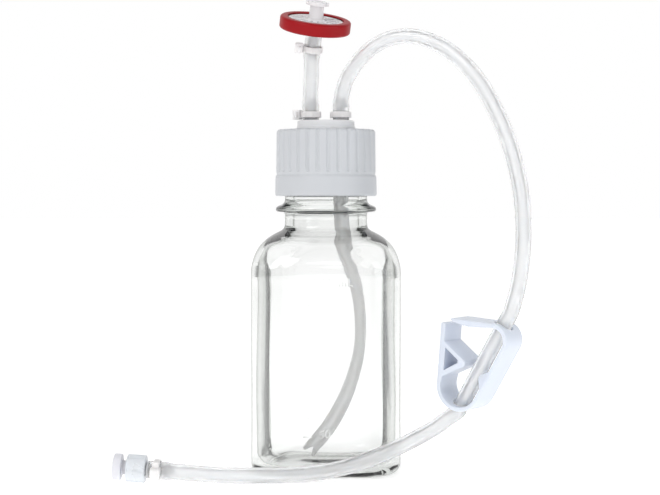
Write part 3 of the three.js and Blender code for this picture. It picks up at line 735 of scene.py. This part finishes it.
for index in range(12):
    angle = index * math.pi / 6 + 0.2
    rib = [(4.6, -0.3), (10.0, -0.3), (10.2, 0), (10.0, 0.3), (4.6, 0.3)]
    spin = np.eye(4)
    spin[:2, :2] = [[math.cos(angle), -math.sin(angle)], [math.sin(angle), math.cos(angle)]]
    spin[2, 3] = 1.95
    prism(f"inlet_rib_{index}", rib, 0.45, housing_clear, "closure", FILTER_FRAME @ spin, 0.12)
membrane = revolved(
    "filter_sheet", [(0, -0.12), (11.2, -0.12), (11.2, 0.12), (0, 0.12)], 72, membrane_white, "closure",
    FILTER_FRAME, None, 0.05,
)
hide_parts("filter_membrane")
ring_profile = [
    (11.8, -2.7), (14.2, -2.7), (14.9, -2.1), (14.9, 2.1), (14.2, 2.7), (11.8, 2.7), (11.8, 2.1),
    (12.35, 2.1), (12.35, -2.1), (11.8, -2.1),
]
filter_ring = revolved(
    "overmoulded_ring", ring_profile, 144, ring_red, "closure", FILTER_FRAME, None, 0.45
)
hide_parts("filter_ring")


# ---------------------------------------------------------------- clamp
def arc(x, y, radius, start, end, count):
    angles = np.radians(np.linspace(start, end, count + 1))
    return [(x + radius * math.cos(a), y + radius * math.sin(a)) for a in angles]


LOOP_Y = 2.0
ARM_ANGLE = 25.7
TEETH = []
for index in range(4):
    TEETH += [(21 + 1.5 * index * 0.24, 17.2 - 1.5 * index), (21.5 + 1.5 * index * 0.26, 16.4 - 1.5 * index)]
clamp_outline = arc(0, LOOP_Y, 10, 90 + ARM_ANGLE, 270, 30) + arc(23.9, -1.1, 6.9, 270, 360 + ARM_ANGLE, 18)
clamp_outline += [(21.95, 18.8), (21.2, 18.7), (21.06, 17.6)] + TEETH + [(23, 10.6), (26.2, 5)]
clamp_outline += arc(23.9, -1.1, 5.2, ARM_ANGLE, -90, 14)
clamp_outline += [(12.6, -6.3), (9.7, -4), (8.6, -3.6), (7.6, -4), (4.4, -6.3)]
clamp_outline += arc(0, LOOP_Y, 8.3, 270, 90 + ARM_ANGLE, 28)
clamp_outline += [(-0.6, 10.4), (8.3, 4), (9.4, 3.9), (10.4, 4.7), (12.2, 16.6), (18.9, 19.8), (18.1, 21.7)]
clamp = prism("pinch_clamp", clamp_outline, 14, clamp_blue, None, CLAMP_FRAME, 0.35)
hollow_outline = [(2, 11), (10.4, 15), (9.2, 7.6), (8.2, 7)]
hollow = prism("hollow", hollow_outline, 20, clamp_blue, None, CLAMP_FRAME, 0)
boolean(clamp, hollow, "DIFFERENCE")
for start, end in ((-14, 0), (20, 34)):
    way = axis_frame(CLAMP_ORIGIN, clamp_along)
    vertices, faces = revolve_data([(0, start), (3.9, start), (3.9, end), (0, end)], 48, way)
    boolean(clamp, make("way", vertices, faces, clamp_blue, None), "DIFFERENCE")
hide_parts("clamp_base", "clamp_arm")


def arm_weight(along, out, across):
    """0 on the base, 1 on the arm, and between them round the back of the loop, where the clamp flexes."""
    if along > 1.5:
        return 1.0 if out > 3.0 + 0.35 * (along - 9) and along < 19.5 else 0.0
    angle = math.degrees(math.atan2(out - LOOP_Y, along)) % 360
    t = min(1.0, max(0.0, (172 - angle) / 44))
    return t * t * (3 - 2 * t)


blend_by(clamp, arm_weight)

# ---------------------------------------------------------------- luer end
fitting_profile = [
    (1.0, -11.3), (1.3, -11.3), (1.45, -11.2), (2.0, -8.3), (1.65, -7.9), (1.65, -1.1), (3.4, -1.1),
    (3.4, -0.3), (2.4, -0.3), (2.4, 1.8), (3.4, 1.8), (3.4, 2.5), (2.0, 2.7), (1.85, 9.4), (1.0, 9.4),
]
fitting = revolved(
    "luer_body", fitting_profile, 64, fitting_natural, "closure", LUER_FRAME, None, 0.12
)
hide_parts("luer_fitting")


def lock_ripple(angle, r, z):
    turn = (angle * 6 / (2 * math.pi) + 0.5) % 1 - 0.5
    groove = np.clip(1 - (np.abs(turn) / 0.14) ** 2, 0, 1)
    return r - 0.5 * groove * (r > 5.0) * (z > 1.2) * (z < 7.3), z


lock_profile = [
    (2.7, 0), (5.2, 0), (5.6, 0.4), (5.6, 1.6), (5.6, 4.4), (5.6, 6.9), (5.6, 7.4), (5.2, 7.8), (4.2, 7.8),
    (4.2, 1.5), (2.7, 1.5),
]
lock = revolved(
    "lock_ring", lock_profile, 144, lock_natural, "luer_lock", LUER_FRAME, lock_ripple, 0.2
)
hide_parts("luer_lock_collar")
cap_profile = [
    (0, 10.4), (2.3, 10.4), (2.3, 3.2), (3.75, 3.2), (3.75, 7.2), (2.85, 7.5), (2.85, 9.8), (5.0, 9.8),
    (5.4, 10.2), (5.4, 12.8), (5.0, 13.2), (4.2, 13.2), (4.0, 12.9), (0, 12.9),
]
cap = revolved("disc_cap", cap_profile, 96, cap_natural, "luer_cap", LUER_FRAME, None, 0.2)
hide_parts("luer_cap")

# ---------------------------------------------------------------- floor, world and lights
floor_mesh = bpy.data.meshes.new("floor")
floor_mesh.from_pydata([(-6, -6, 0), (6, -6, 0), (6, 6, 0), (-6, 6, 0)], [], [(0, 1, 2, 3)])
floor = bpy.data.objects.new("floor", floor_mesh)
scene.collection.objects.link(floor)
floor_material, _, floor_shader = nodes_of("floor")
floor_shader.inputs["Base Color"].default_value = (0.85, 0.85, 0.85, 1)
floor_shader.inputs["Roughness"].default_value = 0.9
floor_shader.inputs["Emission Color"].default_value = (1, 1, 1, 1)
floor_shader.inputs["Emission Strength"].default_value = 0.6
floor_mesh.materials.append(floor_material)

world = bpy.data.worlds.new("studio")
scene.world = world
world.use_nodes = True
tree = world.node_tree
place = tree.nodes.new("ShaderNodeTexCoord")
split = tree.nodes.new("ShaderNodeSeparateXYZ")
tree.links.new(place.outputs["Generated"], split.inputs["Vector"])


def math_node(operation, a, b=None):
    node = tree.nodes.new("ShaderNodeMath")
    node.operation = operation
    for index, value in enumerate((a, b)):
        if value is None:
            continue
        if isinstance(value, (int, float)):
            node.inputs[index].default_value = value
        else:
            tree.links.new(value, node.inputs[index])
    return node.outputs[0]


def ramp(value, low, high):
    node = tree.nodes.new("ShaderNodeMapRange")
    node.interpolation_type = "SMOOTHSTEP"
    node.inputs["From Min"].default_value = low
    node.inputs["From Max"].default_value = high
    tree.links.new(value, node.inputs["Value"])
    return node.outputs["Result"]


# Dark bands to either side, left open overhead. Sideways is 0 along y and 1 along x.
BAND_START = (0.78, 0.87)
BAND_END = (0.99, 0.997)
BAND_TOP = (0.86, 0.95)
BAND_DARKNESS = 0.6
MATT_DIMMING = 0.4

x, y, z = split.outputs
flat = math_node("SQRT", math_node("ADD", math_node("MULTIPLY", x, x), math_node("MULTIPLY", y, y)))
sideways = math_node("DIVIDE", math_node("ABSOLUTE", x), math_node("MAXIMUM", flat, 1e-4))
before_end = math_node("SUBTRACT", 1.0, ramp(sideways, *BAND_END))
below_top = math_node("SUBTRACT", 1.0, ramp(z, *BAND_TOP))
bands = math_node("MULTIPLY", ramp(sideways, *BAND_START), before_end)
bands = math_node("MULTIPLY", bands, below_top)
level = math_node("SUBTRACT", 1.0, math_node("MULTIPLY", bands, BAND_DARKNESS))
rays = tree.nodes.new("ShaderNodeLightPath")
on_matt = math_node("MULTIPLY", rays.outputs["Is Diffuse Ray"], MATT_DIMMING)
level = math_node("MULTIPLY", level, math_node("SUBTRACT", 1.0, on_matt))
shown = math_node("MAXIMUM", level, rays.outputs["Is Camera Ray"])
background = tree.nodes["Background"]
tree.links.new(shown, background.inputs["Strength"])
background.inputs["Color"].default_value = (1, 1, 1, 1)


def area_light(name, location, target, size, power, color=(1, 1, 1)):
    data = bpy.data.lights.new(name, "AREA")
    data.shape = "RECTANGLE"
    data.size, data.size_y = size
    data.energy = power
    data.color = color
    light = bpy.data.objects.new(name, data)
    light.location = location
    light.rotation_euler = (Vector(target) - Vector(location)).to_track_quat("-Z", "Y").to_euler()
    scene.collection.objects.link(light)


area_light("key", (-0.55, -0.6, 0.75), (0, 0, 0.1), (0.5, 0.5), 3.5)
area_light("fill", (0.9, -0.5, 0.35), (0.03, 0, 0.1), (0.4, 0.7), 2.0, (0.92, 0.96, 1.0))
scene.view_settings.view_transform = "Standard"
scene.view_settings.look = "None"
